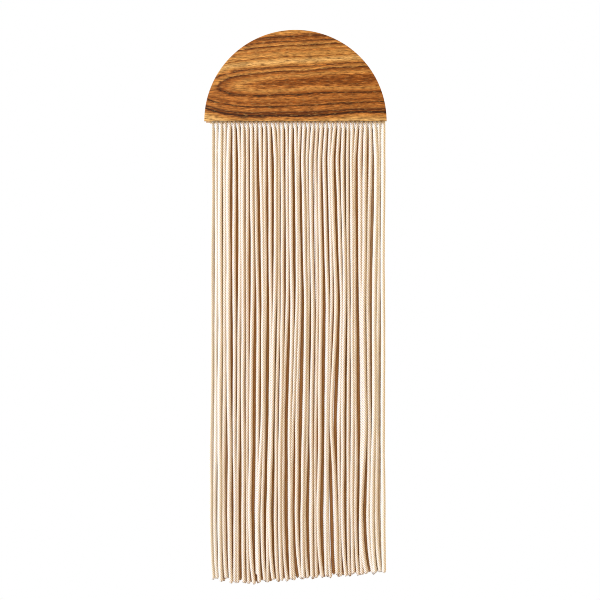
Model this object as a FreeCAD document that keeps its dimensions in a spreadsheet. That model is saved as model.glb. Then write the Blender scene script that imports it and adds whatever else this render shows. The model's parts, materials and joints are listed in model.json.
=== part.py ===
import FreeCAD, Part
import math
import os
import Sketcher

# A half-round wooden wall hanging with a long fringe of twisted cotton cord.
# Millimetres. +X is to the viewer's right, +Y points into the wall and +Z is up.
# The origin is the middle of the keyhole plate's entry hole, on the plate's back face,
# where the head of the wall screw goes in.
#
# How it is made: a half disc of wood has a rebate along the back of its flat edge. Forty
# cords are folded in half and laid in the rebate, folds upward, in two rows of twenty. A
# batten screwed over them clamps them, so eighty cord ends hang below the flat edge.

doc = FreeCAD.newDocument("half_round_wall_hanging")
sheet = doc.addObject("Spreadsheet::Sheet", "Sizes")

SIZES = [
    # The wooden board
    ("board_radius", 110.0),
    ("lip_thickness", 4.2),
    ("edge_round", 1.0),
    # The cords and the way they lie in the rebate
    ("cord_diameter", 5.0),
    ("cord_gap", 0.3),
    ("row_gap", 0.3),
    ("face_gap", 0.25),
    ("fold_height", 12.0),
    ("fold_headroom", 0.85),
    ("side_margin", 3.9),
    ("row_shift", 2.35),
    # The hanging length, from the flat edge to the longest cut end, and how much higher
    # the cut ends are at the far left and the far right
    ("strand_length", 558.0),
    ("trim_left", 5.0),
    ("trim_right", 13.0),
    # The batten that clamps the cords
    ("batten_height", 32.0),
    ("batten_thickness", 5.0),
    ("batten_inset", 1.5),
    ("batten_gap", 0.2),
    ("batten_screw_inset", 26.0),
    # Countersunk wood screws
    ("screw_diameter", 3.0),
    ("screw_head_diameter", 6.0),
    ("screw_head_height", 1.6),
    ("screw_length", 14.0),
    ("screw_slot_width", 0.8),
    ("screw_slot_depth", 0.8),
    ("screw_play", 0.1),
    # The keyhole plate let into the back of the board
    ("crown_to_entry", 38.0),
    ("plate_width", 16.0),
    ("plate_length", 44.0),
    ("plate_thickness", 2.0),
    ("plate_play", 0.2),
    ("keyhole_entry_diameter", 9.0),
    ("keyhole_slot_width", 4.6),
    ("keyhole_slot_rise", 11.0),
    ("plate_screw_spacing", 34.0),
    ("head_room_diameter", 11.0),
    ("head_room_depth", 8.0),
    # Felt bumpers that hold the board off the wall
    ("bumper_diameter", 12.0),
    ("bumper_thickness", 3.0),
    ("lower_bumper_inset", 24.0),
    ("lower_bumper_height", 11.0),
    ("upper_bumper_inset", 19.5),
]

BATTEN_SCREWS = 5
# The upper bumpers sit this many degrees up the board's round edge from its corners.
UPPER_BUMPER_DEGREES = 60
# The longest cut ends hang a fifth of the way along the row, as two straight snips leave them.
LOW_POINT = 0.2

for row, (alias, number) in enumerate(SIZES, start=1):
    sheet.set(f"A{row}", alias)
    sheet.set(f"B{row}", str(number))
    sheet.setAlias(f"B{row}", alias)
doc.recompute()


def cell(text):
    """Turns plain size names into references to the sheet's cells."""
    for alias in sorted((name for name, _ in SIZES), key=len, reverse=True):
        text = text.replace(f"<{alias}>", f"Sizes.{alias}")
    return text


def value(text):
    """The number that an expression has now."""
    return float(sheet.evalExpression(cell(text)))


# Lengths that follow from the driving sizes. Depths are measured from the board's back face.
PITCH = "(<cord_diameter> + <cord_gap>)"
CHAMBER_DEPTH = "(2 * <cord_diameter> + 2 * <face_gap> + <row_gap>)"
CHAMBER_HEIGHT = f"(<fold_height> + ({PITCH} + <cord_diameter>) / 2 + <fold_headroom>)"
LIP_BACK = f"(<batten_thickness> + {CHAMBER_DEPTH})"
BOARD_THICKNESS = f"({LIP_BACK} + <lip_thickness>)"
HANG_HEIGHT = "(<board_radius> - <crown_to_entry>)"
FRONT_ROW_DEPTH = f"({LIP_BACK} - <face_gap> - <cord_diameter> / 2)"
BACK_ROW_DEPTH = f"({FRONT_ROW_DEPTH} - <cord_diameter> - <row_gap>)"
BATTEN_SCREW_PITCH = f"(2 * (<board_radius> - <batten_screw_inset>) / {BATTEN_SCREWS - 1})"
BATTEN_SCREW_HEIGHT = f"(({CHAMBER_HEIGHT} + <batten_height>) / 2)"
PLATE_MIDDLE = "(<keyhole_slot_rise> / 2)"

# A row holds as many folded cords, two ends each, as fit between the board's corners.
CORDS_PER_ROW = math.floor(value(f"(<board_radius> - <side_margin>) / {PITCH}"))
ROW_START = f"(<row_shift> - {CORDS_PER_ROW - 0.5} * {PITCH})"

nodes = []


def finished(thing, label):
    """Names a sub-part and lists it for checking and writing."""
    thing.Label = label
    nodes.append(thing)
    return thing


def place(thing, x="0", y="0", z="0"):
    """Ties a sub-part's position to the sheet."""
    thing.setExpression(".Placement.Base.x", cell(x))
    thing.setExpression(".Placement.Base.y", cell(y))
    thing.setExpression(".Placement.Base.z", cell(z))


def new_body(label, several=False):
    body = doc.addObject("PartDesign::Body", label)
    body.AllowCompound = several
    return finished(body, label)


def new_sketch(body, name, plane, offset="0"):
    """A sketch on one of the body's own planes, moved along the plane's normal by offset."""
    sketch = body.newObject("Sketcher::SketchObject", f"{body.Name}_{name}")
    support = [f for f in body.Origin.OriginFeatures if f.Role == plane][0]
    sketch.AttachmentSupport = [(support, "")]
    sketch.MapMode = "FlatFace"
    sketch.setExpression(".AttachmentOffset.Base.z", cell(offset))
    return sketch


def dimension(sketch, kind, places, text):
    """Adds a driven dimension to a sketch and ties it to the sheet."""
    index = sketch.addConstraint(Sketcher.Constraint(kind, *places, value(text)))
    sketch.setExpression(f"Constraints[{index}]", cell(text))


def fix_point(sketch, geometry, point, across, up):
    """Holds a point of a sketch at a distance across and up from the sketch's origin."""
    dimension(sketch, "DistanceX", (-1, 1, geometry, point), across)
    dimension(sketch, "DistanceY", (-1, 1, geometry, point), up)


def draw_circle(sketch, across, up, diameter):
    centre = FreeCAD.Vector(value(across), value(up), 0)
    axis = FreeCAD.Vector(0, 0, 1)
    circle = sketch.addGeometry(Part.Circle(centre, axis, value(diameter) / 2))
    dimension(sketch, "Diameter", (circle,), diameter)
    fix_point(sketch, circle, 3, across, up)


def draw_outline(sketch, corners):
    """A closed outline of straight lines through corners, given as pairs of expressions."""
    points = [FreeCAD.Vector(value(x), value(y), 0) for x, y in corners]
    count = len(points)
    lines = [
        sketch.addGeometry(Part.LineSegment(points[i], points[(i + 1) % count]))
        for i in range(count)
    ]
    for i in range(count):
        following = lines[(i + 1) % count]
        sketch.addConstraint(Sketcher.Constraint("Coincident", lines[i], 2, following, 1))
        fix_point(sketch, lines[i], 1, *corners[i])


def draw_rectangle(sketch, left, right, bottom, top):
    draw_outline(sketch, [(left, bottom), (right, bottom), (right, top), (left, top)])


def draw_stadium(sketch, low, high, width):
    """An upright slot with round ends, on the sketch's vertical axis."""
    radius = value(width) / 2
    bottom, top = value(low), value(high)
    axis = FreeCAD.Vector(0, 0, 1)
    lower = Part.ArcOfCircle(
        Part.Circle(FreeCAD.Vector(0, bottom, 0), axis, radius), math.pi, 2 * math.pi
    )
    upper = Part.ArcOfCircle(
        Part.Circle(FreeCAD.Vector(0, top, 0), axis, radius), 0, math.pi
    )
    right = Part.LineSegment(
        FreeCAD.Vector(radius, bottom, 0), FreeCAD.Vector(radius, top, 0)
    )
    left = Part.LineSegment(
        FreeCAD.Vector(-radius, top, 0), FreeCAD.Vector(-radius, bottom, 0)
    )
    ring = [sketch.addGeometry(edge) for edge in (lower, right, upper, left)]
    for i in range(4):
        following = ring[(i + 1) % 4]
        sketch.addConstraint(Sketcher.Constraint("Tangent", ring[i], 2, following, 1))
    fix_point(sketch, ring[0], 3, "0", low)
    fix_point(sketch, ring[2], 3, "0", high)
    dimension(sketch, "Diameter", (ring[0],), width)


def flat_line(sketch, left, right, up):
    """A level line of a sketch, drawn from the first end to the second."""
    start = FreeCAD.Vector(left, value(up), 0)
    end = FreeCAD.Vector(right, value(up), 0)
    line = sketch.addGeometry(Part.LineSegment(start, end))
    sketch.addConstraint(Sketcher.Constraint("Horizontal", line))
    dimension(sketch, "DistanceY", (-1, 1, line, 1), up)
    return line


def joining_arc(sketch, radius, angles, start, end):
    """An arc about the sketch's origin, from the end of one line to the start of another."""
    circle = Part.Circle(FreeCAD.Vector(0, 0, 0), FreeCAD.Vector(0, 0, 1), value(radius))
    arc = sketch.addGeometry(Part.ArcOfCircle(circle, *angles))
    sketch.addConstraint(Sketcher.Constraint("Coincident", start, 2, arc, 1))
    sketch.addConstraint(Sketcher.Constraint("Coincident", arc, 2, end, 1))
    sketch.addConstraint(Sketcher.Constraint("Coincident", arc, 3, -1, 1))
    dimension(sketch, "Radius", (arc,), radius)


def draw_half_disc(sketch, radius):
    """The upper half of a disc about the sketch's origin."""
    half_width = value(radius)
    base = flat_line(sketch, -half_width, half_width, "0")
    joining_arc(sketch, radius, (0, math.pi), base, base)


def draw_disc_slice(sketch, radius, height):
    """The slice of a disc between its level diameter and a line that far above it."""
    half_width = value(radius)
    rise = math.asin(value(height) / half_width)
    top_half = half_width * math.cos(rise)
    base = flat_line(sketch, -half_width, half_width, "0")
    lid = flat_line(sketch, top_half, -top_half, height)
    joining_arc(sketch, radius, (0, rise), base, lid)
    joining_arc(sketch, radius, (math.pi - rise, math.pi), lid, base)


def add_pad(body, sketch, length, reverse=False):
    pad = body.newObject("PartDesign::Pad", f"{sketch.Name}_pad")
    pad.Profile = sketch
    pad.Reversed = reverse
    pad.setExpression("Length", cell(length))
    sketch.Visibility = False
    doc.recompute()
    return pad


def add_pocket(body, sketch, length):
    """Cuts a pocket from the back face towards the front, and checks that it cut."""
    before = body.Shape.Volume
    pocket = body.newObject("PartDesign::Pocket", f"{sketch.Name}_pocket")
    pocket.Profile = sketch
    pocket.Reversed = True
    pocket.setExpression("Length", cell(length))
    sketch.Visibility = False
    doc.recompute()
    if body.Shape.Volume >= before:
        raise RuntimeError(f"{pocket.Name} cuts nothing")
    return pocket


def add_round(body, edges, radius):
    base = body.Tip
    fillet = body.newObject("PartDesign::Fillet", f"{body.Name}_round")
    fillet.Base = (base, edges)
    fillet.setExpression("Radius", cell(radius))
    doc.recompute()
    return fillet


def add_row(body, features, axis, spacing, count):
    """Repeats features along one of their body's own axes, at an even spacing."""
    pattern = body.newObject("PartDesign::LinearPattern", f"{body.Name}_row")
    pattern.Originals = features
    line = [f for f in body.Origin.OriginFeatures if f.Role == axis][0]
    pattern.Direction = (line, [""])
    pattern.Mode = "Spacing"
    pattern.setExpression("Offset", cell(spacing))
    pattern.Occurrences = count
    body.Tip = pattern
    doc.recompute()


def edges_at_depth(shape, depth):
    """Names of the edges that lie wholly at one depth in front of the back face."""
    found = []
    for number, edge in enumerate(shape.Edges, start=1):
        box = edge.BoundBox
        if abs(box.YMin + depth) < 1e-4 and abs(box.YMax + depth) < 1e-4:
            found.append(f"Edge{number}")
    return found


def batten_screw_places():
    """How far across each batten screw is, as expressions, from left to right."""
    middle = (BATTEN_SCREWS - 1) / 2
    return [f"{i - middle} * {BATTEN_SCREW_PITCH}" for i in range(BATTEN_SCREWS)]


def plate_screw_places():
    """How high each keyhole plate screw is, as expressions, above the entry hole."""
    return [f"{PLATE_MIDDLE} + {side} * <plate_screw_spacing> / 2" for side in (-1, 1)]


def make_board():
    """The half disc of wood: back face at Y 0, flat edge at local Z 0, front towards -Y."""
    body = new_body("half_round_board")
    outline = new_sketch(body, "outline", "XZ_Plane")
    draw_half_disc(outline, "<board_radius>")
    add_pad(body, outline, BOARD_THICKNESS)
    add_round(body, edges_at_depth(body.Shape, value(BOARD_THICKNESS)), "<edge_round>")

    # The deep part of the rebate holds both rows of cords, and opens through both ends.
    chamber = new_sketch(body, "cord_chamber", "XZ_Plane")
    reach = "<board_radius> + <cord_diameter>"
    draw_rectangle(chamber, f"-({reach})", reach, "-<cord_diameter>", CHAMBER_HEIGHT)
    add_pocket(body, chamber, LIP_BACK)

    # The shallow part lets the batten in flush with the back.
    step = new_sketch(body, "batten_step", "XZ_Plane")
    draw_rectangle(
        step, f"-({reach})", reach, "-<cord_diameter>", "<batten_height> + <batten_gap>"
    )
    add_pocket(body, step, "<batten_thickness>")

    pilot = "<screw_diameter> + <screw_play>"
    batten_pilots = new_sketch(body, "batten_pilot_holes", "XZ_Plane")
    for across in batten_screw_places():
        draw_circle(batten_pilots, across, BATTEN_SCREW_HEIGHT, pilot)
    add_pocket(body, batten_pilots, "<screw_length> + <screw_play>")

    # The keyhole plate sits in a shallow recess, with room behind it for the screw's head.
    half_run = "(<plate_length> - <plate_width>) / 2"
    plate_recess = new_sketch(body, "plate_recess", "XZ_Plane")
    middle = f"{HANG_HEIGHT} + {PLATE_MIDDLE}"
    draw_stadium(
        plate_recess, f"{middle} - {half_run}", f"{middle} + {half_run}",
        "<plate_width> + <plate_play>",
    )
    add_pocket(body, plate_recess, "<plate_thickness>")
    head_room = new_sketch(body, "screw_head_room", "XZ_Plane")
    draw_stadium(
        head_room, HANG_HEIGHT, f"{HANG_HEIGHT} + <keyhole_slot_rise>",
        "<head_room_diameter>",
    )
    add_pocket(body, head_room, "<plate_thickness> + <head_room_depth>")
    plate_pilots = new_sketch(body, "plate_pilot_holes", "XZ_Plane")
    for up in plate_screw_places():
        draw_circle(plate_pilots, "0", f"{HANG_HEIGHT} + {up}", pilot)
    add_pocket(body, plate_pilots, "<screw_length> + <screw_play>")
    place(body, z=f"-{HANG_HEIGHT}")


def add_countersinks(body, places, name):
    """Cone-shaped seats for screw heads, opening at the body's back face."""
    for number, (across, up) in enumerate(places, start=1):
        sketch = new_sketch(body, f"{name}_{number}", "YZ_Plane", across)
        head = "(<screw_head_diameter> + <screw_play>) / 2"
        neck = "(<screw_diameter> + <screw_play>) / 2"
        # The YZ plane's own axes are Y across and Z up.
        draw_outline(sketch, [
            ("0", up),
            ("-<screw_head_height>", up),
            ("-<screw_head_height>", f"{up} + {neck}"),
            ("0", f"{up} + {head}"),
        ])
        groove = body.newObject("PartDesign::Groove", f"{sketch.Name}_groove")
        groove.Profile = sketch
        groove.ReferenceAxis = (sketch, ["Edge1"])
        groove.Angle = 360
        before = body.Shape.Volume
        doc.recompute()
        if body.Shape.Volume >= before:
            raise RuntimeError(f"{groove.Name} cuts nothing")


def make_batten():
    """The strip that clamps the cords, its ends cut to the board's round outline."""
    body = new_body("clamp_batten")
    outline = new_sketch(body, "outline", "XZ_Plane")
    draw_disc_slice(outline, "<board_radius> - <batten_inset>", "<batten_height>")
    add_pad(body, outline, "<batten_thickness>")
    holes = new_sketch(body, "screw_holes", "XZ_Plane")
    for across in batten_screw_places():
        draw_circle(holes, across, BATTEN_SCREW_HEIGHT, "<screw_diameter> + <screw_play>")
    add_pocket(body, holes, "<batten_thickness>")
    seats = [(across, BATTEN_SCREW_HEIGHT) for across in batten_screw_places()]
    add_countersinks(body, seats, "countersink")
    place(body, z=f"-{HANG_HEIGHT}")


def make_keyhole_plate():
    """A steel plate with a round entry hole and a narrow slot above it."""
    body = new_body("keyhole_plate")
    outline = new_sketch(body, "outline", "XZ_Plane")
    half_run = "(<plate_length> - <plate_width>) / 2"
    draw_stadium(
        outline, f"{PLATE_MIDDLE} - {half_run}", f"{PLATE_MIDDLE} + {half_run}",
        "<plate_width>",
    )
    add_pad(body, outline, "<plate_thickness>")
    entry = new_sketch(body, "entry_hole", "XZ_Plane")
    draw_circle(entry, "0", "0", "<keyhole_entry_diameter>")
    add_pocket(body, entry, "<plate_thickness>")
    slot = new_sketch(body, "slot", "XZ_Plane")
    draw_stadium(slot, "0", "<keyhole_slot_rise>", "<keyhole_slot_width>")
    add_pocket(body, slot, "<plate_thickness>")
    holes = new_sketch(body, "screw_holes", "XZ_Plane")
    for up in plate_screw_places():
        draw_circle(holes, "0", up, "<screw_diameter> + <screw_play>")
    add_pocket(body, holes, "<plate_thickness>")
    add_countersinks(body, [("0", up) for up in plate_screw_places()], "countersink")


def make_screws(label, axis, spacing, count):
    """A row of countersunk screws with slotted heads, heads at the back, tips to the front."""
    body = new_body(label, several=True)
    profile = new_sketch(body, "profile", "YZ_Plane")
    radius = "<screw_diameter> / 2"
    head = "<screw_head_diameter> / 2"
    draw_outline(profile, [
        ("0", "0"),
        ("-<screw_length>", "0"),
        ("-<screw_length> + <screw_diameter>", radius),
        ("-<screw_head_height>", radius),
        ("0", head),
    ])
    turned = body.newObject("PartDesign::Revolution", f"{label}_turned")
    turned.Profile = profile
    turned.ReferenceAxis = (profile, ["Edge1"])
    turned.Angle = 360
    doc.recompute()
    slot = new_sketch(body, "driver_slot", "XZ_Plane")
    half = "<screw_slot_width> / 2"
    draw_rectangle(slot, f"-({head})", head, f"-({half})", half)
    cut = add_pocket(body, slot, "<screw_slot_depth>")
    add_row(body, [turned, cut], axis, spacing, count)
    return body


def make_bumpers():
    """Felt discs between the back and the wall: two on the batten, two near the top."""
    lower_across = "(<board_radius> - <lower_bumper_inset>)"
    angle = math.radians(UPPER_BUMPER_DEGREES)
    upper_reach = "(<board_radius> - <upper_bumper_inset>)"
    upper_across = f"{math.cos(angle):.6f} * {upper_reach}"
    upper_up = f"{math.sin(angle):.6f} * {upper_reach}"
    places = [
        ("lower_left_bumper", f"-{lower_across}", "<lower_bumper_height>"),
        ("lower_right_bumper", lower_across, "<lower_bumper_height>"),
        ("upper_left_bumper", f"-{upper_across}", upper_up),
        ("upper_right_bumper", upper_across, upper_up),
    ]
    towards_wall = FreeCAD.Rotation(FreeCAD.Vector(1, 0, 0), -90)
    for label, across, up in places:
        disc = finished(doc.addObject("Part::Cylinder", label), label)
        disc.Placement = FreeCAD.Placement(FreeCAD.Vector(0, 0, 0), towards_wall)
        disc.setExpression("Radius", cell("<bumper_diameter> / 2"))
        disc.setExpression("Height", cell("<bumper_thickness>"))
        place(disc, x=across, z=f"{up} - {HANG_HEIGHT}")


def make_folds(label, depth):
    """The clamped tops of one row of cords: each goes up, over a tight fold and down.

    A fold's two legs are one cord pitch apart, and the folds are two pitches apart.
    """
    body = new_body(label, several=True)
    section = new_sketch(body, "section", "XY_Plane", "<fold_height>")
    draw_circle(section, "0", "0", "<cord_diameter>")
    reach = value("<cord_diameter> / 2")
    middle = value(f"{PITCH} / 2")
    turning_line = section.addGeometry(
        Part.LineSegment(FreeCAD.Vector(middle, -reach, 0), FreeCAD.Vector(middle, reach, 0)),
        True,
    )
    fix_point(section, turning_line, 1, f"{PITCH} / 2", "-<cord_diameter> / 2")
    fix_point(section, turning_line, 2, f"{PITCH} / 2", "<cord_diameter> / 2")
    crown = body.newObject("PartDesign::Revolution", f"{label}_crown")
    crown.Profile = section
    crown.ReferenceAxis = (section, ["Axis0"])
    crown.Angle = 180
    doc.recompute()
    if crown.Shape.BoundBox.ZMin < value("<fold_height>") - 0.01:
        crown.Reversed = True
        doc.recompute()
    legs = new_sketch(body, "legs", "XY_Plane")
    draw_circle(legs, "0", "0", "<cord_diameter>")
    draw_circle(legs, PITCH, "0", "<cord_diameter>")
    straight = add_pad(body, legs, "<fold_height>")
    add_row(body, [crown, straight], "X_Axis", f"2 * {PITCH}", CORDS_PER_ROW)
    place(body, x=ROW_START, y=f"-{depth}", z=f"-{HANG_HEIGHT}")


def hanging_length(index):
    """The length of one cord's hanging ends: two straight snips that meet at the low point."""
    along = index / (CORDS_PER_ROW - 1)
    if along < LOW_POINT:
        return f"<strand_length> - {(LOW_POINT - along) / LOW_POINT:.4f} * <trim_left>"
    return f"<strand_length> - {(along - LOW_POINT) / (1 - LOW_POINT):.4f} * <trim_right>"


def make_strands(row_name, depth):
    """The two hanging ends of every cord in a row, from the flat edge down to the cut."""
    for index in range(CORDS_PER_ROW):
        label = f"{row_name}_cord_{index + 1:02d}"
        body = new_body(label, several=True)
        section = new_sketch(body, "section", "XY_Plane")
        draw_circle(section, "0", "0", "<cord_diameter>")
        draw_circle(section, PITCH, "0", "<cord_diameter>")
        add_pad(body, section, hanging_length(index), reverse=True)
        place(
            body, x=f"{ROW_START} + {2 * index} * {PITCH}", y=f"-{depth}",
            z=f"-{HANG_HEIGHT}",
        )


make_board()
make_batten()
batten_screws = make_screws("batten_screws", "X_Axis", BATTEN_SCREW_PITCH, BATTEN_SCREWS)
place(
    batten_screws, x=batten_screw_places()[0], z=f"{BATTEN_SCREW_HEIGHT} - {HANG_HEIGHT}"
)
make_keyhole_plate()
plate_screws = make_screws("keyhole_plate_screws", "Z_Axis", "<plate_screw_spacing>", 2)
place(plate_screws, z=plate_screw_places()[0])
make_bumpers()
make_folds("front_cord_folds", FRONT_ROW_DEPTH)
make_folds("back_cord_folds", BACK_ROW_DEPTH)
make_strands("front", FRONT_ROW_DEPTH)
make_strands("back", BACK_ROW_DEPTH)

doc.recompute()

for thing in doc.Objects:
    if "Invalid" in thing.State or "Error" in thing.State:
        raise RuntimeError(f"{thing.Label}: {thing.State}")
for node in nodes:
    if node.Shape.isNull() or not node.Shape.isValid():
        raise RuntimeError(f"{node.Label}: its shape is missing or not valid")

os.makedirs("parts", exist_ok=True)
for node in nodes:
    node.Shape.exportStep(os.path.join("parts", f"{node.Label}.step"))
    print(node.Label, len(node.Shape.Solids), round(node.Shape.Volume, 1))

section_area = math.pi * value("<cord_diameter>") ** 2 / 4
for node in nodes:
    if "_cord_" in node.Label and "folds" not in node.Label:
        index = int(node.Label[-2:]) - 1
        expected = 2 * section_area * value(hanging_length(index))
        if abs(node.Shape.Volume / expected - 1) > 0.001:
            raise RuntimeError(f"{node.Label}: its volume isn't its section times its length")
print("fold radius at the cord's middle:", value(f"{PITCH} / 2"))
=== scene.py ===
# %% [markdown]
# # A cord fringe under a half-round board
#
# The object is a wall hanging: a flat half disc of oiled hardwood with a long fringe of twisted
# cotton cords clamped behind its straight edge. The wood, the clamp, the hanger and every joint come
# from a fixed CAD frame. This lesson dresses that frame: each cord gets its twist, its own way of
# hanging and its cut end, and each surface gets a finish made of nodes.

# %% Load the fixed frame
import json
import math
import bmesh
import bpy
import numpy as np
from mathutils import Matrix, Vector

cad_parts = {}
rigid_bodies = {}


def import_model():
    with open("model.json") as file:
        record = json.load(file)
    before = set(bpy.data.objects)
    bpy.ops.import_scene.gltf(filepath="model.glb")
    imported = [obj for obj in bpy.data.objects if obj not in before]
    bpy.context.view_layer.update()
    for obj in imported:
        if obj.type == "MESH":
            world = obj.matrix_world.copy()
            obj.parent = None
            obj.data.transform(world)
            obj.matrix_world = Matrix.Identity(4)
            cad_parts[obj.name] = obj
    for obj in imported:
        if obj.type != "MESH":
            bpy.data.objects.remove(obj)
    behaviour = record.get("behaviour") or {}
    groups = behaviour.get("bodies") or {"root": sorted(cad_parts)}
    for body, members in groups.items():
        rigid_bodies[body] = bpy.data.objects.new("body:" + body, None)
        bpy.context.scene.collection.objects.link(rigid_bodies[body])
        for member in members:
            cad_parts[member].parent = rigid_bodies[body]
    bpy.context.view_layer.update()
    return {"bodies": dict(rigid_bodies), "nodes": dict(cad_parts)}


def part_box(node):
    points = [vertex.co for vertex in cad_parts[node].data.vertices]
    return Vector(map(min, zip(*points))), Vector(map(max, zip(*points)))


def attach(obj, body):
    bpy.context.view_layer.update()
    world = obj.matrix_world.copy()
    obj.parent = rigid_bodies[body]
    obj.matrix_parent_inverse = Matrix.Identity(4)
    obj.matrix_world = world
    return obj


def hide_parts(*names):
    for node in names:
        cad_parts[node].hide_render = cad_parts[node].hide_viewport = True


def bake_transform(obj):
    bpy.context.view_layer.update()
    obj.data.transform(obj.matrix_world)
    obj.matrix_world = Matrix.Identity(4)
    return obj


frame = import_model()
print("nodes in the frame:", len(frame["nodes"]))

# %% [markdown]
# ## Sizes read from the frame
#
# Nothing is measured twice. The board's edge, the cord's thickness, the spacing of the cords and the
# length of each one are all read from the boxes of the CAD nodes, so a changed design still fits.
# Everything is in metres, with X to the right, Y into the wall and Z up.

# %% Read the board and the cords
MM = 0.001
board_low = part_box("half_round_board")[0]
EDGE_Z = board_low.z
FACE_Y = board_low.y
first_low, first_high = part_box("front_cord_01")
back_low, back_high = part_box("back_cord_01")
CORD = first_high.y - first_low.y
PITCH = (first_high.x - first_low.x) - CORD
FRONT_Y = (first_low.y + first_high.y) / 2
BACK_Y = (back_low.y + back_high.y) / 2
FOLD_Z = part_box("front_cord_folds")[1].z - CORD / 2
CORDS = sum(name.startswith("front_cord_") for name in frame["nodes"]) - 1
ENDS = 2 * CORDS
LOCKS = sum(name.startswith("fringe_lock_") for name in frame["bodies"])
ENDS_PER_LOCK = ENDS // LOCKS
print(f"{CORDS} cords a row, {CORD / MM:.2f} mm thick, {PITCH / MM:.2f} mm apart, in {LOCKS} locks")


def end_x(end):
    """The straight place of a hanging end, counted from the left: the first end plus whole pitches."""
    return first_low.x + CORD / 2 + end * PITCH


# %% [markdown]
# ## The camera
#
# The hanging is seen square on. A long lens from two metres keeps the cords parallel, as they are to
# the eye across a room. The camera comes before the cords, because their check looks through it.

# %% Make the camera
LENS = 100
SENSOR = 36
VIEW_WIDTH = 0.723
VIEW_X, VIEW_Z = 0.0055, -0.2877

camera_data = bpy.data.cameras.new("camera")
camera_data.lens = LENS
camera_data.sensor_width = SENSOR
camera = bpy.data.objects.new("camera", camera_data)
bpy.context.scene.collection.objects.link(camera)
distance = VIEW_WIDTH * LENS / SENSOR
camera.location = (VIEW_X, FACE_Y - distance, VIEW_Z)
camera.rotation_euler = (math.radians(90), 0, 0)
bpy.context.scene.camera = camera
print(f"camera {distance:.2f} m in front of the board")

# %% [markdown]
# ## A surface from a grid
#
# A twisted cord is a profile carried along a line, so its points form a grid: one row for each step
# along the line, one column for each place round it. It could be done with a bevelled curve, but a
# bevel can't twist its section or fray its end. Blender fills a mesh fastest from whole arrays: the
# points, then the corners of every face in one row, then the place where each face starts.

# %% Turn a grid of points into a closed mesh object
def grid_piece(name, points, ends):
    """A closed tube from points (rows, columns, 3). Quads join each row to the next and each column
    to the next one round; ends are the two middle points that close the first and the last row.
    Rows run down and columns run round from left to right in front, so the faces point outwards."""
    rows, columns = points.shape[:2]
    row = np.arange(rows - 1)[:, None] * columns
    here, there = np.arange(columns)[None, :], (np.arange(columns)[None, :] + 1) % columns
    quads = np.stack([row + here, row + columns + here, row + columns + there, row + there], axis=-1)
    first, last = rows * columns, rows * columns + 1
    below = (rows - 1) * columns
    cap = np.stack([np.full(columns, first), here[0], there[0]], axis=-1)
    foot = np.stack([np.full(columns, last), below + there[0], below + here[0]], axis=-1)
    triangles = np.concatenate([cap, foot])
    corners = np.concatenate([quads.reshape(-1), triangles.reshape(-1)]).astype(np.int32)
    starts = np.concatenate([np.arange(quads.size // 4) * 4, quads.size + np.arange(len(triangles)) * 3])
    mesh = bpy.data.meshes.new(name)
    mesh.vertices.add(rows * columns + 2)
    mesh.vertices.foreach_set("co", np.concatenate([points.reshape(-1), np.ravel(ends)]))
    mesh.loops.add(len(corners))
    mesh.loops.foreach_set("vertex_index", corners)
    mesh.polygons.add(len(starts))
    mesh.polygons.foreach_set("loop_start", starts.astype(np.int32))
    mesh.update(calc_edges=True)
    mesh.polygons.foreach_set("use_smooth", np.full(len(starts), True))
    piece = bpy.data.objects.new(name, mesh)
    bpy.context.scene.collection.objects.link(piece)
    return piece


print("a grid of 3 rows by 8 columns has", 2 * 8 + 2 * 8, "faces")

# %% Give a grid piece its UV map
def unwrap(piece, rows, columns, along):
    """A UV map for a grid piece: U goes once round, V is the distance along in metres."""
    u = np.arange(columns) / columns
    shape = (rows - 1, columns)
    left, right = np.broadcast_to(u, shape), np.broadcast_to(u + 1 / columns, shape)
    top, low = np.broadcast_to(along[:-1, None], shape), np.broadcast_to(along[1:, None], shape)
    quads = np.stack([left, top, left, low, right, low, right, top], axis=-1).reshape(-1)
    caps = np.concatenate([np.tile([0.5, along[0]], 3 * columns), np.tile([0.5, along[-1]], 3 * columns)])
    layer = piece.data.uv_layers.new(name="lay")
    layer.uv.foreach_set("vector", np.concatenate([quads, caps]).astype(np.float32))


print("its map is named lay, for the lay of the yarns")


# %% [markdown]
# ## The line that a cord follows
#
# Each cord is one length folded in half. The fold sits in the slot behind the board's edge, and its
# two ends hang. A hanging end starts at the middle of its fold, turns down, leaves the board straight
# and then drifts a few millimetres to either side, as soft cotton does. Its route is a short list of
# points, a NURBS spline smooths them, and the spline's own line is read back for the cord to follow.

# %% Read a smooth line back from a few points
def smooth_line(points):
    """The line of one NURBS spline of order 3 that has these control points and reaches both ends."""
    curve = bpy.data.curves.new("route", "CURVE")
    curve.dimensions = "3D"
    spline = curve.splines.new("NURBS")
    spline.points.add(len(points) - 1)
    spline.points.foreach_set("co", np.c_[points, np.ones(len(points))].reshape(-1))
    spline.order_u = 3
    spline.use_endpoint_u = True
    spline.resolution_u = 32
    holder = bpy.data.objects.new("route", curve)
    mesh = bpy.data.meshes.new_from_object(holder)
    line = np.empty(len(mesh.vertices) * 3)
    mesh.vertices.foreach_get("co", line)
    bpy.data.meshes.remove(mesh)
    bpy.data.objects.remove(holder)
    bpy.data.curves.remove(curve)
    return line.reshape(-1, 3)


def even_steps(line, step):
    """Points of a line about one step apart, and how far along it each of them is."""
    along = np.concatenate([[0], np.cumsum(np.linalg.norm(np.diff(line, axis=0), axis=1))])
    at = np.linspace(0, along[-1], round(along[-1] / step) + 1)
    return np.stack([np.interp(at, along, line[:, k]) for k in range(3)], axis=1), at


corner = smooth_line([(0, 0, 0), (0, 0, -1), (1, 0, -1)])
print("a line round one corner is read back as", len(corner), "points and cuts inside the corner")


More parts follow.
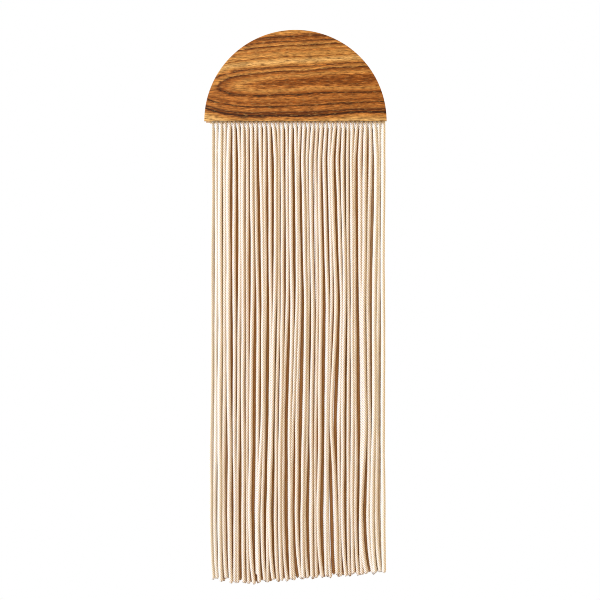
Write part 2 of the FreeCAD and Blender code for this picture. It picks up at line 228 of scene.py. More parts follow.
# %% [markdown]
# ## How each end hangs
#
# Forty ends side by side never hang evenly. They crowd together, part, lean on each other and cross,
# and that unevenness is what makes the fringe look like cord rather than a comb. A formula alone
# repeats itself and looks woven, so each end has a place of its own. STRAYS says how far it hangs from
# plumb, in millimetres, at four distances below the edge, and TIP_STRAYS does so at the tip. They are
# measured places of a hanging fringe, given to the ends one by one, rounded to about half a
# millimetre and eased where two locks meet. CUTS is how much lower than its CAD rod each tip is
# cut. Each line below is one lock of eight ends, from the left.

# %% Place the front row
STRAYS = (
    (47, (
        0, -0.5, -0.5, -1, -1.5, 0.5, 1, 0.5,
        0, 0, 0, -0.5, 0.5, 1, 2, 1,
        0, 0.5, 0, 0, -1.5, -2, -3, -3,
        -2.8, -2.6, -2.5, -3, -3, -3.5, -2, -1,
        -1.3, -3, -2, -2, 1.5, 1.5, 0, 0,
    )),
    (216, (
        -0.5, 0, -0.5, -0.5, -1.5, 0.5, 1, 0.5,
        0, 2, 3, 2.5, 2, 1.5, 1.5, 1,
        0.5, 2, 1.5, 1.5, 1.5, 1, 0, 0,
        0.5, 0.5, 1.5, 1, 3, 1.5, 2, 0.5,
        0, -1.5, -1.5, -3, -2.5, -2, 0, -0.5,
    )),
    (366, (
        -1.5, -1, -1.5, -1.5, 0, 0.5, 0.5, 0.5,
        0, 1, 1.5, 2, 0.5, -0.5, -1, -2,
        -2, -2.5, -3, -3.5, -2.5, -2, -0.5, -2,
        -2.6, -0.5, -1.5, -3, -4, -2, 0.5, 0,
        0.3, 0, 0, 0.5, -1, -2, -1, -0.5,
    )),
    (481, (
        -2, -2.5, -1.5, -2, 0, 1.5, 1, 0.5,
        0, 0, -1.5, -2, -3, -3.5, -2.5, -3,
        -3, -3, -3.5, -4, -4.5, -4, -3, -2,
        -2.5, -3.5, -2.5, -1.5, 0.5, -0.5, 0.5, 0,
        -0.5, -2, -2.5, -3.5, -4.5, -3, -2, 0,
    )),
)
TIP_STRAYS = (
    1.5, 0.5, 0.5, 1.5, 2, 1, 0.5, 1.5,
    2, 3.5, 0.5, 0.5, -0.5, -1.5, 1, 0,
    -0.5, 0.5, 0, 0, 0.5, -0.5, -0.5, -1,
    -1, 0, 0, 1, 1.5, 2.5, 3, 1.5,
    1, 0.5, 1, 2, 2.5, 2, 1, 1,
)
CUTS = (
    0.5, 0, 1.5, -2, 2, 1.5, 1, 0.5,
    0.8, 1.5, -9, 0, -1, 0.8, -1.5, 0,
    0.5, 1.2, -0.5, 1, 0, -1, 0.4, -0.6,
    0.6, 0, -0.8, 1, -2, 0.5, 1, 0,
    -1, 0.8, 1.2, -0.5, 0.6, 0, -0.4, 0.4,
)
print("places:", len(STRAYS) * ENDS, "along the ends and", ENDS, "at their tips")

# %% [markdown]
# The route's points are the middle of the fold, its shoulder, the straight exit, then the four
# places with three between each pair, which waver a little to one side, and last the tip. Ends
# inside a lock also lean a little on a neighbour, some in front and some behind, so that two touch
# here and part there. The first and last end of a lock do not, since the next lock swings by itself,
# and the first few ends at the left hang packed side by side.

# %% Lay out the route of a front end
DEPTHS = (-0.6, 0.9, -0.2, 1.1, -0.4, 0.2, 0.8)  # millimetres behind the middle of the row, in turn
PACKED_LEFT = 6
LEAN = 1.45  # millimetres, growing a little from each height to the next
WAVER = 0.5  # millimetres, on the points between the heights
BETWEEN = (0.25, 0.5, 0.75)
FIRST_DROP = 5 * MM
LAST_DROP = 18 * MM
HOOK = 0.4  # share of the way from the last height's place to the tip's, LAST_DROP above the tip


def front_route(end):
    """The control points of a front end, from the middle of its fold to its tip."""
    x = end_x(end)
    middle_x = x + (PITCH / 2 if end % 2 == 0 else -PITCH / 2)
    depth = DEPTHS[end % len(DEPTHS)] * MM
    inner = end >= PACKED_LEFT and end % ENDS_PER_LOCK not in (0, ENDS_PER_LOCK - 1)
    tip_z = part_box(f"front_cord_{end // 2 + 1:02d}")[0].z - CUTS[end] * MM
    points = [(middle_x, FRONT_Y, FOLD_Z), (x, FRONT_Y, FOLD_Z), (x, FRONT_Y, EDGE_Z)]
    points.append((x, FRONT_Y, EDGE_Z - FIRST_DROP))
    last_drop, last_stray = 0.0, 0.0
    for order, (drop, strays) in enumerate(STRAYS):
        lean = LEAN * (0.75 + 0.3 * order) * math.sin(2.4 * end + 0.8 * order)
        stray = strays[end] + (lean if inner else 0)
        for share in BETWEEN:
            waver = WAVER * math.sin(2.4 * end + 1.9 * order + 21 * share) if order else 0
            between = last_stray + share * (stray - last_stray) + waver
            level = EDGE_Z - (last_drop + share * (drop - last_drop)) * MM
            if level < points[-1][2]:
                points.append((x + between * MM, FRONT_Y + depth, level))
        points.append((x + stray * MM, FRONT_Y + depth, EDGE_Z - drop * MM))
        last_drop, last_stray = drop, stray
    tip_stray = TIP_STRAYS[end] + (LEAN * math.sin(2.4 * end + 3.4) if inner else 0)
    tip_x = x + tip_stray * MM
    before_x = x + (HOOK * tip_stray + (1 - HOOK) * last_stray) * MM
    points.append((before_x, FRONT_Y + depth, tip_z + LAST_DROP))
    points.append((tip_x, FRONT_Y + depth, tip_z))
    return points


print("the first end's route has", len(front_route(0)), "points")


# %% [markdown]
# The ends of the back row settle into the gaps of the front row, as cords do when they lie against
# each other, so each one hangs between two front ends. The last end of a lock stays nearly plumb,
# because the next end belongs to another lock that can swing away on its own.

# %% Lay out the route of a back end
SETTLED = (0.36, 0.45, 0.5, 0.5, 0.5, 0.5, 0.42, 0.22)  # shares of the way to the next front end
BACK_STEP = 0.6 * MM
BACK_TRIM = 2 * MM


def back_route(end):
    """The control points of a back end: those of the front end, moved part of the way to the next."""
    own = front_route(end)
    following = front_route(min(end + 1, ENDS - 1))
    share = SETTLED[end % ENDS_PER_LOCK]
    points = [(px, BACK_Y, pz) for px, _, pz in own[:4]]
    for here, there in zip(own[4:], following[4:]):
        points.append((here[0] + share * (there[0] - here[0]), BACK_Y + BACK_STEP, here[2]))
    tip_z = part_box(f"back_cord_{end // 2 + 1:02d}")[0].z + BACK_TRIM * math.sin(2.4 * end)
    points[-1] = (points[-1][0], BACK_Y + BACK_STEP, tip_z)
    return points


print("the first back end settles", round((back_route(0)[-1][0] - end_x(0)) / MM, 1), "mm to the right")


# %% [markdown]
# ## The twisted cord
#
# The cord is soft cotton yarns laid round each other. Real twist could be modelled yarn by yarn, but
# eighty cords of separate tubes would be far too many faces. Instead one surface has a rounded lobe
# for each yarn round its section, and the section turns as it goes down, once in every lay. The
# columns of the grid follow the yarns, so each valley between two yarns is a clean line of points.
# The real cord's yarns are more and finer than show from across a room, so it is drawn coarser, with
# five. Three numbers are stored on the points for the finish: how deep in a valley a point is and how
# far it faces into the bundle, which set how much shade is painted there, and how warm the whole cord is.

# %% Choose the twist
YARNS = 5
LAY = 15 * MM
VALLEY = 0.74  # the radius in a valley, as a share of the radius on a yarn
THREAD_RADIUS = 0.465 * CORD
BACK_SWELL = 1.1
FULLER = 1.16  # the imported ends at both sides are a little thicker
SWELLS = ((23 * MM, 0.03), (7.3 * MM, 0.03))  # a slow and a quick change in thickness
OPENING, TIP = 0.07, 3 * MM  # the cut end opens by this share over this length
CUT_ROUND = 0.5 * MM
RAGGED, RAGGED_LENGTH = 0.42 * MM, 1.2 * MM  # yarns end unevenly by this much at the cut
SIDE_LIGHT = 24 * MM  # within this distance of the fringe's two sides the painted shade is weaker, standing for light that reaches in there
# BACK_SHADE weakens the painted bundle shade on the back row.
BACK_SHADE = 0.8
rng = np.random.default_rng(11)
print(f"{YARNS} yarns, one turn in {LAY / MM:.0f} mm, {2 * THREAD_RADIUS / MM:.2f} mm thick")


# %% Make one twisted cord

def twisted_cord(name, route, lobe, step, faces_in, swelling):
    """A cord along a route. Its radius is the thread radius times the lobe's height, a slow swell and
    a rounded tip; its section turns by the distance along over the lay. faces_in is +1 where the
    bundle is behind the cord and -1 where it is in front of it."""
    centres, along = even_steps(smooth_line(route), step)
    tangent = np.gradient(centres, axis=0)
    tangent /= np.linalg.norm(tangent, axis=1, keepdims=True)
    back = np.array([0.0, 1.0, 0.0]) - tangent[:, 1:2] * tangent
    back /= np.linalg.norm(back, axis=1, keepdims=True)
    side = np.cross(tangent, back)
    heights = np.tile(lobe, YARNS)
    columns = len(heights)
    round_it = 2 * math.pi * np.arange(columns) / columns
    lay = LAY * rng.uniform(0.92, 1.1)
    turn = 2 * math.pi * (along / lay + rng.random()) + 0.5 * np.sin(along / (60 * MM) + 6 * rng.random())
    angle = turn[:, None] + round_it[None, :]
    left = along[-1] - along
    swell = 1 + sum(share * np.sin(along / length + 6 * rng.random()) for length, share in SWELLS)
    opened = 1 + OPENING * np.exp(-left / TIP)
    rounded = np.sqrt(np.clip(left / CUT_ROUND + 0.35, 0, 1))
    radius = THREAD_RADIUS * swelling * (swell * opened * rounded)[:, None] * heights[None, :]
    cut = RAGGED * rng.standard_normal(YARNS).repeat(len(lobe))
    fray = np.exp(-left / RAGGED_LENGTH)[:, None] * cut[None, :]
    around = np.sin(angle)[..., None] * side[:, None, :] - np.cos(angle)[..., None] * back[:, None, :]
    points = centres[:, None, :] + radius[..., None] * around + fray[..., None] * tangent[:, None, :]
    foot = centres[-1] + 0.1 * MM * tangent[-1]
    piece = grid_piece(name, points, [centres[0], foot])
    unwrap(piece, len(centres), columns, along)
    # Painted shade: the valley and buried numbers darken the colour in the valleys between yarns and on the
    # sides that face into the bundle, and both are weaker near the fringe's two sides.
    valley = np.broadcast_to((1 - heights) / (1 - min(lobe)), points.shape[:2])
    buried = 0.5 + 0.5 * faces_in * around[..., 1]
    buried = buried if faces_in > 0 else BACK_SHADE * buried
    reach = np.minimum(points[..., 0] - end_x(0), end_x(ENDS - 1) - points[..., 0])
    inward = 0.2 + 0.8 * np.clip(reach / SIDE_LIGHT, 0, 1)
    buried, valley = buried * inward, valley * (0.4 + 0.6 * inward)
    tone = np.full(points.shape[:2], rng.random())
    for label, values in (("valley", valley), ("buried", buried), ("tone", tone)):
        attribute = piece.data.attributes.new(label, "FLOAT", "POINT")
        attribute.data.foreach_set("value", np.concatenate([values.reshape(-1), [0, 0]]).astype(np.float32))
    return piece, centres


print("a cord stores how deep, how buried and how warm each of its points is")


# %% [markdown]
# ## Colours and nodes
#
# A finish starts from the sRGB colour that a maker would pick from a chart, and Blender wants it
# linear. One function does that, and one more adds a node with its settings and its links.

# %% Two helpers for every finish
def linear(colour):
    """A linear RGBA colour from an sRGB hex value: each channel is divided by 12.92 when it is small,
    and otherwise shifted by 0.055, divided by 1.055 and raised to 2.4."""
    channels = np.array([int(colour[i : i + 2], 16) / 255 for i in (1, 3, 5)])
    curved = np.where(channels <= 0.04045, channels / 12.92, ((channels + 0.055) / 1.055) ** 2.4)
    return (*curved.tolist(), 1.0)


def add(tree, kind, inputs=(), **settings):
    """Adds a node. settings are its properties; inputs maps a socket's name or number to a value, or
    to another node's output, which is linked to it."""
    node = tree.nodes.new("ShaderNode" + kind)
    for name, value in settings.items():
        setattr(node, name, value)
    for socket, value in dict(inputs).items():
        if isinstance(value, bpy.types.NodeSocket):
            tree.links.new(value, node.inputs[socket])
        else:
            node.inputs[socket].default_value = value
    return node


def new_finish(name):
    """An empty material of that name: its tree, and its Principled shader already on the output."""
    material = bpy.data.materials.new(name)
    material.use_nodes = True
    tree = material.node_tree
    tree.nodes.clear()
    shader = add(tree, "BsdfPrincipled")
    add(tree, "OutputMaterial", {"Surface": shader.outputs["BSDF"]})
    return material, tree, shader


print("middle grey in linear light:", round(linear("#808080")[0], 3))


# %% [markdown]
# ## Cotton
#
# The cord is undyed combed cotton. To the eye it is almost white on the yarns. The straw colour in the
# valleys between them and the honey-brown deep in the bundle are painted shade, for light that has met
# many fibres there. The cotton has no gloss, only the soft rim that loose fibres give, which is sheen.
# The fibres run along each yarn. A real fibre is a fiftieth of a millimetre thick and can't be seen, so
# the noise that stands for them has sixty streaks round the cord and is 4 mm long.

# %% Mix the cotton
COTTON_YARN = "#fefcf7"
COTTON_YARN_WARM = "#f8f1e5"
# The next two colours are painted shade, for the valleys between the yarns and for deep in the bundle.
COTTON_VALLEY_SHADE = "#a66c28"
COTTON_BUNDLE_SHADE = "#d09843"
FIBRES_ROUND = 60
FIBRE_LENGTH = 4 * MM

cotton, tree, shader = new_finish("undyed_cotton")
valley = add(tree, "Attribute", attribute_name="valley").outputs["Fac"]
buried = add(tree, "Attribute", attribute_name="buried").outputs["Fac"]
tone = add(tree, "Attribute", attribute_name="tone").outputs["Fac"]
lay_map = add(tree, "UVMap", uv_map="lay").outputs["UV"]
along_fibres = add(tree, "Mapping", {"Vector": lay_map, "Scale": (FIBRES_ROUND, 1 / FIBRE_LENGTH, 1)})
fibres = add(tree, "TexNoise", {"Vector": along_fibres.outputs[0], "Scale": 1.0, "Detail": 3.0})
yarn = add(tree, "Mix", {0: tone, 6: linear(COTTON_YARN), 7: linear(COTTON_YARN_WARM)}, data_type="RGBA")
# Painted shade: points that face into the bundle, and then the valleys between yarns, are mixed toward the
# two shade colours.
inner = add(tree, "MapRange", {"Value": buried, "From Min": 0.12, "From Max": 0.9, "To Max": 0.88})
bundle = add(
    tree, "Mix", {0: inner.outputs[0], 6: yarn.outputs[2], 7: linear(COTTON_BUNDLE_SHADE)}, data_type="RGBA"
)
inside = add(tree, "Math", {0: buried, 1: 0.3, 2: 0.72}, operation="MULTIPLY_ADD").outputs[0]
deep = add(tree, "Math", {0: valley, 1: inside}, operation="MULTIPLY", use_clamp=True).outputs[0]
valley_shaded = add(tree, "Mix", {0: deep, 6: bundle.outputs[2], 7: linear(COTTON_VALLEY_SHADE)}, data_type="RGBA")
mottle = add(tree, "MapRange", {"Value": fibres.outputs["Fac"], "To Min": 0.9, "To Max": 1.06})
final = add(
    tree,
    "Mix",
    {0: 1.0, 6: valley_shaded.outputs[2], 7: mottle.outputs[0]},
    data_type="RGBA",
    blend_type="MULTIPLY",
)
fuzz = add(tree, "Bump", {"Height": fibres.outputs["Fac"], "Strength": 0.35, "Distance": 0.25 * MM})
tree.links.new(final.outputs[2], shader.inputs["Base Color"])
tree.links.new(fuzz.outputs[0], shader.inputs["Normal"])
shader.inputs["Roughness"].default_value = 0.92
shader.inputs["Sheen Weight"].default_value = 0.25
shader.inputs["Sheen Roughness"].default_value = 0.5
shader.inputs["Specular IOR Level"].default_value = 0.2
print(cotton.name, "has", len(tree.nodes), "nodes")

# %% [markdown]
# ## Eighty hanging ends
#
# Each end is a piece of its own, from the middle of its fold to its tip. It stands for its CAD rod.

# %% Hang every end
ROUND_LOBE = (1.0, 1.0, VALLEY)
PLAIN_LOBE = (1.0, VALLEY)
FULLER_ENDS = (*range(5), *range(ENDS - 6, ENDS))
FRONT_STEP, BACK_ROW_STEP = 1.7 * MM, 2.4 * MM  # one row of points for each of these, fewer behind
hung = []
for end in range(ENDS):
    cord_number = f"{end // 2 + 1:02d}"
    half = "left" if end % 2 == 0 else "right"
    fuller = FULLER if end in FULLER_ENDS else 1.0
    rows = (
        ("front", front_route, ROUND_LOBE, FRONT_STEP, 1, fuller),
        ("back", back_route, PLAIN_LOBE, BACK_ROW_STEP, -1, BACK_SWELL),
    )
    for row, route, lobe, step, faces_in, swelling in rows:
        piece, centres = twisted_cord(
            f"{row}_end_{cord_number}_{half}", route(end), lobe, step, faces_in, swelling
        )
        piece.data.materials.append(cotton)
        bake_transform(piece)
        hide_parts(f"{row}_cord_{cord_number}", f"{row}_cord_folds")
        hung.append(piece)
print(len(hung), "ends,", sum(len(piece.data.polygons) for piece in hung), "faces")

# %% [markdown]
# ## The board
#
# The board keeps its CAD shape. Its mesh comes as loose triangles, so a copy is merged and shaded
# smooth except at its sharp edges, which lets the rounded rim catch the light in one clean line.

# %% Copy the board
SHARP = math.radians(30)


def merged_copy(name, node):
    """A copy of a CAD node's mesh with its doubled points merged and its flat faces kept flat."""
    piece = bpy.data.objects.new(name, frame["nodes"][node].data.copy())
    bpy.context.scene.collection.objects.link(piece)
    piece.data.materials.clear()
    work = bmesh.new()
    work.from_mesh(piece.data)
    bmesh.ops.remove_doubles(work, verts=work.verts, dist=0.01 * MM)
    work.to_mesh(piece.data)
    work.free()
    piece.data.polygons.foreach_set("use_smooth", np.full(len(piece.data.polygons), True))
    piece.data.set_sharp_from_angle(angle=SHARP)
    return piece


board = merged_copy("board", "half_round_board")
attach(board, "board_assembly")
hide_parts("half_round_board")
print("board:", len(board.data.vertices), "points")

# %% [markdown]
# ## Oiled hardwood
#
# The board is flat-sawn, so the growth rings show as one long arch lying on its side, with straight
# lines above and below it. Rings are cones round the middle of the trunk. A ring's number at a point
# is its distance from that middle, which lies behind the face, less a share of the way along the
# trunk. Worked out in three dimensions, the same formula also draws the rings on the rim and the
# edge. Fine fibre streaks and short dark pores lie over it, and oil gives it a low satin gloss.

# %% Grow the rings
ARCH_TIP = -98.0
ARCH_LENGTH = 30.0
ARCH_OPENING = 8.4
PITH_DEPTH = 12.0
PITH_Z = -26.1
PITH_SLOPE = 0.05
RING_RANGE = 60.0
WARP = 9.0  # millimetres between the lowest and the highest that the rings wander, over a long way
JITTER = 3.4  # millimetres of fine unevenness in a ring's line, from side to side
FEATHER = 3.6  # millimetres over which fibres feather a ring's edge

wood, tree, shader = new_finish("oiled_acacia")
place = add(tree, "TexCoord").outputs["Object"]
place = add(tree, "VectorMath", {0: place, "Scale": 1000.0}, operation="SCALE").outputs[0]
long_warp = add(tree, "Mapping", {"Vector": place, "Scale": (0.011, 0.03, 0.03)})
warp_look = {"Scale": 1.0, "Detail": 2.0, "Roughness": 0.5}
warp = add(tree, "TexNoise", {"Vector": long_warp.outputs[0], **warp_look})
warp = add(tree, "Math", {0: warp.outputs["Fac"], 1: 0.5}, operation="SUBTRACT").outputs[0]
warp = add(tree, "Math", {0: warp, 1: WARP}, operation="MULTIPLY").outputs[0]
axes = add(tree, "SeparateXYZ", {0: place})
sloped = add(tree, "Math", {0: axes.outputs["X"], 1: -PITH_SLOPE, 2: -PITH_Z}, operation="MULTIPLY_ADD")
height = add(tree, "Math", {0: axes.outputs["Z"], 1: sloped.outputs[0]}, operation="ADD").outputs[0]
height = add(tree, "Math", {0: height, 1: warp}, operation="ADD").outputs[0]
depth = add(tree, "Math", {0: axes.outputs["Y"], 1: PITH_DEPTH - FACE_Y / MM}, operation="ADD").outputs[0]
across = add(tree, "CombineXYZ", {"Y": depth, "Z": height})
from_pith = add(tree, "VectorMath", {0: across.outputs[0]}, operation="LENGTH").outputs["Value"]
way = add(tree, "Math", {0: axes.outputs["X"], 1: -ARCH_TIP}, operation="ADD").outputs[0]
way = add(tree, "Math", {0: way, 1: -ARCH_LENGTH}, operation="DIVIDE").outputs[0]
way = add(tree, "Math", {0: way}, operation="EXPONENT").outputs[0]
opening = add(tree, "Math", {0: way, 1: ARCH_OPENING, 2: -ARCH_OPENING}, operation="MULTIPLY_ADD").outputs[0]
ring = add(tree, "Math", {0: from_pith, 1: opening}, operation="ADD").outputs[0]
print("the arch opens from", ARCH_TIP, "mm, and the pith lies", PITH_DEPTH, "mm behind the face")

# %% Roughen the rings with streaks and fibres
# A streak is 50 mm long and 2 to 3 mm wide. Real wood fibres are far too fine to show, so they are
# drawn 11 mm long and 1.6 mm wide.
fine_map = add(tree, "Mapping", {"Vector": place, "Scale": (0.02, 0.35, 0.42)})
streak_look = {"Scale": 1.0, "Detail": 8.0, "Roughness": 0.62}
streaks = add(tree, "TexNoise", {"Vector": fine_map.outputs[0], **streak_look})
fibre_map = add(tree, "Mapping", {"Vector": place, "Rotation": (0, -0.05, 0), "Scale": (0.09, 0.6, 0.65)})
fibre_look = {"Scale": 1.0, "Detail": 5.0, "Roughness": 0.7}
fibres = add(tree, "TexNoise", {"Vector": fibre_map.outputs[0], **fibre_look})
for noise, reach_mm in ((streaks, JITTER), (fibres, FEATHER)):
    moved = {0: noise.outputs["Fac"], 1: reach_mm, 2: -reach_mm / 2}
    moved = add(tree, "Math", moved, operation="MULTIPLY_ADD").outputs[0]
    ring = add(tree, "Math", {0: ring, 1: moved}, operation="ADD").outputs[0]
ring_share = add(tree, "Math", {0: ring, 1: RING_RANGE}, operation="DIVIDE").outputs[0]
print("a ring's line wanders up to", (JITTER + FEATHER) / 2, "mm either way")

# %% [markdown]
# Each ring's shade is a stop on a ramp, placed at its distance in millimetres: pale for the spring
# wood and near black for the narrow lines of late wood. Above the arch the wood is golden, and below
# it more orange, so there are two ramps, and the height above the middle of the arch blends them.

# %% List the rings
DARK, UMBER, BROWN = "#1c0a03", "#4a220b", "#83450f"
ORANGE, GOLD, PALE = "#ad6a2c", "#c58a45", "#dbab68"
UPPER_RINGS = (
    (4.2, BROWN), (5.4, ORANGE), (6.8, GOLD), (8.5, ORANGE), (10.4, BROWN), (11.3, UMBER),
    (12.2, GOLD), (14.6, ORANGE), (15.9, UMBER), (16.8, ORANGE), (18.5, GOLD), (22.0, PALE),
    (25.6, GOLD), (26.6, BROWN), (27.4, GOLD),
    (31.0, GOLD), (34.4, ORANGE), (36.0, GOLD), (38.2, BROWN), (38.9, UMBER), (39.8, GOLD), (42.0, ORANGE),
    (43.3, UMBER), (44.6, ORANGE), (47.5, BROWN), (48.5, UMBER), (51.0, ORANGE), (54.0, GOLD),
)
LOWER_RINGS = (
    (4.2, BROWN), (5.6, ORANGE), (7.0, GOLD), (8.8, ORANGE), (10.0, BROWN), (10.7, DARK),
    (11.6, BROWN), (13.5, ORANGE), (16.0, ORANGE), (18.0, BROWN), (20.4, ORANGE), (21.3, DARK),
    (22.3, BROWN), (24.0, ORANGE),
    (27.0, ORANGE), (29.2, UMBER), (31.0, BROWN), (32.6, DARK), (33.8, UMBER), (35.0, ORANGE),
    (38.0, GOLD), (41.5, PALE),
)
print(len(UPPER_RINGS), "stops above the arch and", len(LOWER_RINGS), "below it")

# %% Shade the rings
halves = []
for rings in (LOWER_RINGS, UPPER_RINGS):
    ramp = add(tree, "ValToRGB", {"Fac": ring_share})
    stops = ramp.color_ramp.elements
    stops.remove(stops[1])
    stops[0].position = rings[0][0] / RING_RANGE
    stops[0].color = linear(rings[0][1])
    for distance_mm, colour in rings[1:]:
        stops.new(distance_mm / RING_RANGE).color = linear(colour)
    halves.append(ramp.outputs["Color"])
above = add(tree, "MapRange", {"Value": height, "From Min": -5.0, "From Max": 5.0}).outputs[0]
figure = add(tree, "Mix", {0: above, 6: halves[0], 7: halves[1]}, data_type="RGBA").outputs[2]
print("the two halves of the figure meet over 10 mm")

# %% [markdown]
# Over the rings lie the fibres, which lighten and darken the wood in streaks, the open pores, which
# oil turns dark, and a few pale flecks, where the saw has cut the rays. Real pores are a tenth or two
# of a millimetre wide and several millimetres long. They are drawn about 1 mm wide, so that they show.

# %% Lay the fibres and pores over the rings
# One cell of the pore noise is 7 mm along the grain and 1.2 mm across it.
pore_map = add(tree, "Mapping", {"Vector": place, "Scale": (0.14, 0.85, 0.85), "Location": (7, 3, 5)})
pores = add(tree, "TexNoise", {"Vector": pore_map.outputs[0], "Scale": 1.0, "Detail": 3.0, "Roughness": 0.6})
pore_depth = add(tree, "MapRange", {"Value": pores.outputs["Fac"], "From Min": 0.51, "From Max": 0.64})
streak_range = {"From Min": 0.3, "From Max": 0.7, "To Min": 0.54, "To Max": 1.1}
streaked = add(tree, "MapRange", {"Value": streaks.outputs["Fac"], **streak_range})
fibre_range = {"From Min": 0.3, "From Max": 0.7, "To Min": 0.28, "To Max": 1.66}
fibred = add(tree, "MapRange", {"Value": fibres.outputs["Fac"], **fibre_range})
both = add(tree, "Math", {0: streaked.outputs[0], 1: fibred.outputs[0]}, operation="MULTIPLY").outputs[0]
figure = add(tree, "Mix", {0: 1.0, 6: figure, 7: both}, data_type="RGBA", blend_type="MULTIPLY").outputs[2]
pored = add(tree, "Math", {0: pore_depth.outputs[0], 1: 0.62}, operation="MULTIPLY").outputs[0]
figure = add(tree, "Mix", {0: pored, 6: figure, 7: linear(UMBER)}, data_type="RGBA").outputs[2]
ray_range = {"From Min": 0.46, "From Max": 0.34, "To Max": 0.25}
rays = add(tree, "MapRange", {"Value": pores.outputs["Fac"], **ray_range}).outputs[0]
figure = add(tree, "Mix", {0: rays, 6: figure, 7: linear(PALE)}, data_type="RGBA").outputs[2]
grain_look = {"Strength": 0.25, "Distance": 0.15 * MM}
grain = add(tree, "Bump", {"Height": pore_depth.outputs[0], **grain_look}, invert=True)
satin = add(tree, "MapRange", {"Value": streaks.outputs["Fac"], "To Min": 0.5, "To Max": 0.68})
tree.links.new(figure, shader.inputs["Base Color"])
tree.links.new(grain.outputs[0], shader.inputs["Normal"])
tree.links.new(satin.outputs[0], shader.inputs["Roughness"])
shader.inputs["Specular IOR Level"].default_value = 0.18
board.data.materials.append(wood)
print(wood.name, "has", len(tree.nodes), "nodes")

# %% [markdown]
# ## The hidden hardware
#
# Behind the board are the clamping batten, its screws, the keyhole plate and four pads. The batten is
# plain beech, pale with short flecks. The screws and the plate are zinc-plated steel: bright, a touch
# blue, with the fine brush lines of the sheet. The pads are pressed wool felt.

# %% Finish the batten
beech, tree, shader = new_finish("planed_beech")
place = add(tree, "TexCoord").outputs["Object"]
# Growth bands are 40 mm long and 2 to 3 mm wide, and the flecks 2.5 mm long and 0.7 mm wide.
beech_map = add(tree, "Mapping", {"Vector": place, "Scale": (25, 300, 420)})
flow = add(tree, "TexNoise", {"Vector": beech_map.outputs[0], "Scale": 1.0, "Detail": 6.0, "Distortion": 0.3})
shade = add(tree, "ValToRGB", {"Fac": flow.outputs["Fac"]})
shade.color_ramp.elements[0].position = 0.3
shade.color_ramp.elements[0].color = linear("#b98a5c")
shade.color_ramp.elements[1].position = 0.7
shade.color_ramp.elements[1].color = linear("#dcb98c")
fleck_map = add(tree, "Mapping", {"Vector": place, "Scale": (400, 1500, 1500)})
flecks = add(tree, "TexVoronoi", {"Vector": fleck_map.outputs[0], "Scale": 1.0})
fleck_range = {"From Min": 0.05, "From Max": 0.25, "To Min": 0.35, "To Max": 0.0}
fleck = add(tree, "MapRange", {"Value": flecks.outputs["Distance"], **fleck_range})
mixed = add(tree, "Mix", {0: fleck.outputs[0], 6: shade.outputs[0], 7: linear("#8a5a34")}, data_type="RGBA")
rough = add(tree, "Bump", {"Height": flow.outputs["Fac"], "Strength": 0.2, "Distance": 0.1 * MM})
tree.links.new(mixed.outputs[2], shader.inputs["Base Color"])
tree.links.new(rough.outputs[0], shader.inputs["Normal"])
shader.inputs["Roughness"].default_value = 0.62
frame["nodes"]["clamp_batten"].data.materials.clear()
frame["nodes"]["clamp_batten"].data.materials.append(beech)
print(beech.name, "is on the batten")

# %% Finish the steel
zinc, tree, shader = new_finish("zinc_plated_steel")
place = add(tree, "TexCoord").outputs["Object"]
# Brush lines lie a quarter of a millimetre apart and run 3 mm. A spangle is 1.4 mm across.
brushed = add(tree, "Mapping", {"Vector": place, "Scale": (4000, 4000, 300)})
lines = add(tree, "TexNoise", {"Vector": brushed.outputs[0], "Scale": 1.0, "Detail": 2.0})
spangle = add(tree, "TexVoronoi", {"Vector": place, "Scale": 700.0})
tint = add(tree, "MapRange", {"Value": spangle.outputs["Distance"], "To Min": 0.0, "To Max": 1.0})
plated = add(tree, "Mix", {0: tint.outputs[0], 6: linear("#c9cdd0"), 7: linear("#aeb4b9")}, data_type="RGBA")
gloss = add(tree, "MapRange", {"Value": lines.outputs["Fac"], "To Min": 0.24, "To Max": 0.45})
brush = add(tree, "Bump", {"Height": lines.outputs["Fac"], "Strength": 0.15, "Distance": 0.02 * MM})
tree.links.new(plated.outputs[2], shader.inputs["Base Color"])
tree.links.new(gloss.outputs[0], shader.inputs["Roughness"])
tree.links.new(brush.outputs[0], shader.inputs["Normal"])
shader.inputs["Metallic"].default_value = 1.0
for name in ("batten_screws", "keyhole_plate", "keyhole_plate_screws"):
    frame["nodes"][name].data.materials.clear()
    frame["nodes"][name].data.materials.append(zinc)
print(zinc.name, "is on the screws and the plate")

# %% Finish the felt
felt, tree, shader = new_finish("pressed_wool_felt")
place = add(tree, "TexCoord").outputs["Object"]
# Wool fibres are too fine to show, so tufts of a little over half a millimetre stand for them.
wool = add(tree, "TexNoise", {"Vector": place, "Scale": 1800.0, "Detail": 5.0, "Distortion": 1.5})
greys = {6: linear("#7d7469"), 7: linear("#b3a999")}
tuft = add(tree, "Mix", {0: wool.outputs["Fac"], **greys}, data_type="RGBA")
nap = add(tree, "Bump", {"Height": wool.outputs["Fac"], "Strength": 0.6, "Distance": 0.2 * MM})
tree.links.new(tuft.outputs[2], shader.inputs["Base Color"])
tree.links.new(nap.outputs[0], shader.inputs["Normal"])
shader.inputs["Roughness"].default_value = 0.95
shader.inputs["Sheen Weight"].default_value = 0.4
for corner in ("lower_left", "lower_right", "upper_left", "upper_right"):
    frame["nodes"][f"{corner}_bumper"].data.materials.clear()
    frame["nodes"][f"{corner}_bumper"].data.materials.append(felt)
print(felt.name, "is on the four pads")

# %% [markdown]
# ## The studio
#
# The hanging is shown against plain white, over a plain pale floor. One broad lamp from the upper left
# makes the cords' left sides white, and a weak warm light all round fills their shade, as a room does.
# A second lamp behind keeps the back of the board from going dark when the object is turned round.

# %% Lay the floor
FLOOR_Z = -1.5


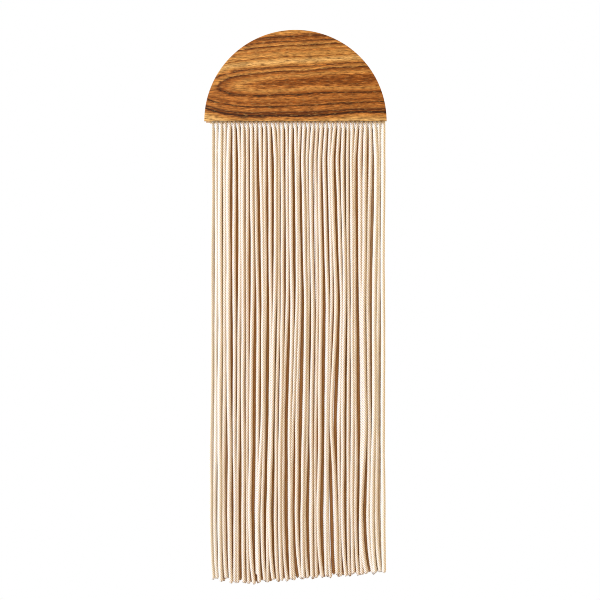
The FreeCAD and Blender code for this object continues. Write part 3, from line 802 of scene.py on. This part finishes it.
def plane(name, centre, along, up, material):
    """A rectangle from its centre and two half-sides; its face looks along their cross product."""
    centre, along, up = (np.array(v, float) for v in (centre, along, up))
    corners = [centre - along - up, centre + along - up, centre + along + up, centre - along + up]
    mesh = bpy.data.meshes.new(name)
    mesh.from_pydata([tuple(corner) for corner in corners], [], [(0, 1, 2, 3)])
    mesh.materials.append(material)
    piece = bpy.data.objects.new(name, mesh)
    bpy.context.scene.collection.objects.link(piece)


plaster, tree, shader = new_finish("floor_plaster")
shader.inputs["Base Color"].default_value = linear("#bcd0f6")
shader.inputs["Roughness"].default_value = 0.8
plane("floor", (0, -0.5, FLOOR_Z), (3, 0, 0), (0, 3, 0), plaster)
print("floor at", FLOOR_Z, "m")

# %% Light it
KEY_FROM, KEY_SIZE, KEY_POWER = (-2.0, -1.2, 0.7), 0.7, 88
REAR_FROM, REAR_SIZE, REAR_POWER = (0.9, 1.8, 0.7), 0.9, 48


def lamp(name, place, size, power, colour):
    """A square area lamp at a place, turned to face the middle of the fringe."""
    data = bpy.data.lights.new(name, "AREA")
    data.shape = "SQUARE"
    data.size = size
    data.energy = power
    data.color = linear(colour)[:3]
    light = bpy.data.objects.new(name, data)
    bpy.context.scene.collection.objects.link(light)
    aim = np.array([0, 0, VIEW_Z]) - np.array(place)
    light.location = place
    light.rotation_euler = Vector(aim).to_track_quat("-Z", "Y").to_euler()


lamp("key", KEY_FROM, KEY_SIZE, KEY_POWER, "#cde4ff")
lamp("rear", REAR_FROM, REAR_SIZE, REAR_POWER, "#fff8f0")
print("lamps:", len(bpy.data.lights))

# %% [markdown]
# The room's own light is honey-coloured, because it stands for light that has met many fibres on its
# way into the bundle. It would also tint the background, so the camera sees white there instead. The
# last two settings keep the twist: a narrow filter draws each yarn crisply, and the denoiser takes
# its guide to the colours as it is, since smoothing that guide would wipe the yarns out in patches.

# %% Fill the shade and keep the twist sharp
FILL_STRENGTH = 1.22
world = bpy.data.worlds.new("studio")
world.use_nodes = True
bpy.context.scene.world = world
tree = world.node_tree
tree.nodes.clear()
seen = add(tree, "LightPath").outputs["Is Camera Ray"]
fill = add(tree, "Background", {"Color": linear("#edc988"), "Strength": FILL_STRENGTH})
white = add(tree, "Background", {"Color": (1, 1, 1, 1), "Strength": 1.0})
sky = add(tree, "MixShader", {0: seen, 1: fill.outputs[0], 2: white.outputs[0]})
add(tree, "OutputWorld", {"Surface": sky.outputs[0]})
bpy.context.scene.view_settings.view_transform = "Standard"
bpy.context.scene.cycles.filter_width = 1.0
bpy.context.scene.cycles.denoising_prefilter = "NONE"
print("fill is", FILL_STRENGTH, "times as strong as the white behind")
